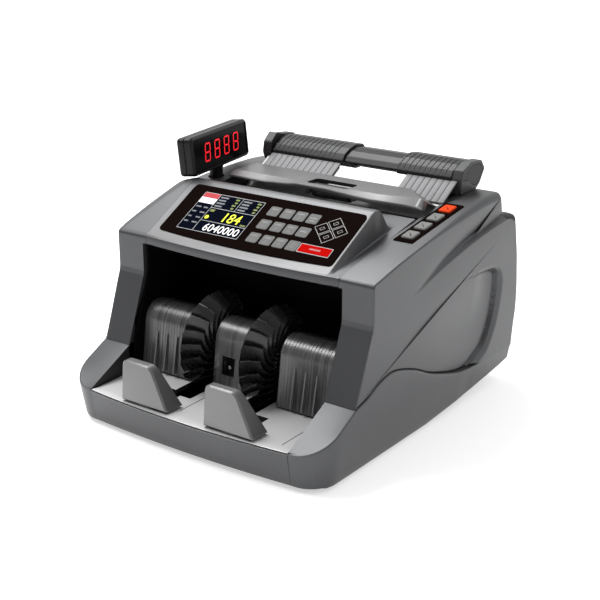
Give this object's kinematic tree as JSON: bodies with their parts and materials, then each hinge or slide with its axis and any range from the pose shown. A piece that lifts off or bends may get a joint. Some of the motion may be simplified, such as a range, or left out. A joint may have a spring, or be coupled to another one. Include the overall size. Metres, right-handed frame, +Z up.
{
  "type": "banknote counting machine",
  "caption": "Desktop banknote counter with a rear feed hopper, sloping keypad, swivelling side display and a front stacker bay.",
  "frame": {"origin": "bottom centre of the bounding box, on the surface the feet stand on", "axes": "+Z up, +X to the operator's right, -Y towards the operator"},
  "size_m": [0.2673, 0.3214, 0.2233],
  "materials": {
    "body_grey": "satin metallic",
    "body_light": "satin metallic",
    "console_silver": "satin metallic",
    "black_film": "satin film",
    "black_plastic": "satin",
    "dark_grey": "satin",
    "pale_plastic": "satin",
    "display_glass": "gloss",
    "key_grey": "fine grain",
    "key_orange": "fine grain",
    "steel": "brushed",
    "rubber": "matte",
    "board_green": "solder mask"
  },
  "bodies": {
    "chassis": {"base_housing": "body_grey", "stacker_tray": "body_light", "upper_cover": "body_grey", "console_housing": "console_silver", "keypad_overlay": "black_film", "display_window": "display_glass", "button_strip_bezel": "black_plastic", "rear_panel": "body_grey", "power_inlet": "black_plastic", "switch_frame": "black_plastic", "foot_front_left": "rubber", "foot_front_right": "rubber", "foot_rear_left": "rubber", "foot_rear_right": "rubber", "bay_liner": "black_plastic", "guide_left": "dark_grey", "guide_centre": "dark_grey", "guide_right": "dark_grey", "sensor_window": "display_glass", "hopper_plate": "pale_plastic", "hopper_bar_core": "dark_grey", "drive_motor": "steel", "feed_belt": "rubber", "stacker_belt": "rubber", "side_frame_left": "steel", "side_frame_right": "steel", "tie_rod_front": "steel", "tie_rod_rear": "steel", "transport_guide": "black_plastic", "main_board": "board_green", "power_supply": "steel"},
    "stacker_rotor": {"stacker_shaft": "steel", "vane_wheel_left": "rubber", "vane_wheel_right": "rubber", "stacker_pulley": "black_plastic"},
    "feed_rotor": {"feed_shaft": "steel", "feed_roller_left": "rubber", "feed_roller_right": "rubber", "feed_pulley": "black_plastic"},
    "motor_rotor": {"motor_pulley": "black_plastic"},
    "lid": {"lid": "body_light"},
    "thumbwheel": {"gap_thumbwheel": "black_plastic"},
    "display": {"pod_rear_shell": "black_plastic", "pod_front_shell": "dark_grey", "pod_window": "display_glass", "pod_post": "dark_grey"},
    "left_stopper": {"stopper_left": "body_light"},
    "right_stopper": {"stopper_right": "body_light"},
    "left_hopper_guide": {"hopper_guide_left": "dark_grey", "hopper_cheek_left": "dark_grey"},
    "right_hopper_guide": {"hopper_guide_right": "dark_grey", "hopper_cheek_right": "dark_grey"},
    "button_1": {"side_button_1": "key_grey"},
    "button_2": {"side_button_2": "key_grey"},
    "button_3": {"side_button_3": "key_grey"},
    "button_4": {"side_button_4": "key_orange"},
    "rocker": {"power_switch": "black_plastic"}
  },
  "joints": [
    {"name": "stacker_spin", "type": "hinge", "parent": "chassis", "child": "stacker_rotor", "pos_m": [0, -0.0697, 0.064], "axis": [1, 0, 0], "continuous": true},
    {"name": "feed_spin", "type": "hinge", "parent": "chassis", "child": "feed_rotor", "pos_m": [0, 0.0433, 0.148], "axis": [1, 0, 0], "continuous": true},
    {"name": "motor_spin", "type": "hinge", "parent": "chassis", "child": "motor_rotor", "pos_m": [0, 0.0653, 0.066], "axis": [1, 0, 0], "continuous": true},
    {"name": "lid_hinge", "type": "hinge", "parent": "chassis", "child": "lid", "pos_m": [0, 0.0693, 0.1842], "axis": [-1, 0, 0], "range_deg": [0, 75]},
    {"name": "thumbwheel_turn", "type": "hinge", "parent": "lid", "child": "thumbwheel", "pos_m": [0, 0.0453, 0.1774], "axis": [1, 0, 0], "range_deg": [-170, 170]},
    {"name": "display_swivel", "type": "hinge", "parent": "chassis", "child": "display", "pos_m": [-0.115, 0.0293, 0.19], "axis": [0, 0, 1], "range_deg": [-90, 90]},
    {"name": "left_stopper_slide", "type": "slide", "parent": "chassis", "child": "left_stopper", "axis": [0, 1, 0], "range_m": [0, 0.02]},
    {"name": "right_stopper_slide", "type": "slide", "parent": "chassis", "child": "right_stopper", "axis": [0, 1, 0], "range_m": [0, 0.02]},
    {"name": "left_guide_slide", "type": "slide", "parent": "chassis", "child": "left_hopper_guide", "axis": [1, 0, 0], "range_m": [0, 0.027]},
    {"name": "right_guide_slide", "type": "slide", "parent": "chassis", "child": "right_hopper_guide", "axis": [-1, 0, 0], "range_m": [0, 0.027]},
    {"name": "button_1_press", "type": "slide", "parent": "chassis", "child": "button_1", "axis": [0, 0.1479, -0.989], "range_m": [0, 0.0015], "stiffness_N_per_m": 400, "springref_m": -0.001},
    {"name": "button_2_press", "type": "slide", "parent": "chassis", "child": "button_2", "axis": [0, 0.1479, -0.989], "range_m": [0, 0.0015], "stiffness_N_per_m": 400, "springref_m": -0.001},
    {"name": "button_3_press", "type": "slide", "parent": "chassis", "child": "button_3", "axis": [0, 0.1479, -0.989], "range_m": [0, 0.0015], "stiffness_N_per_m": 400, "springref_m": -0.001},
    {"name": "button_4_press", "type": "slide", "parent": "chassis", "child": "button_4", "axis": [0, 0.1479, -0.989], "range_m": [0, 0.0015], "stiffness_N_per_m": 400, "springref_m": -0.001},
    {"name": "power_rocker", "type": "hinge", "parent": "chassis", "child": "rocker", "pos_m": [0, 0.1523, 0.068], "axis": [1, 0, 0], "range_deg": [0, 12]}
  ],
  "couplings": [
    {"joint": "motor_spin", "follows": "stacker_spin", "ratio": 2.4286},
    {"joint": "feed_spin", "follows": "stacker_spin", "ratio": 1.5455}
  ]
}
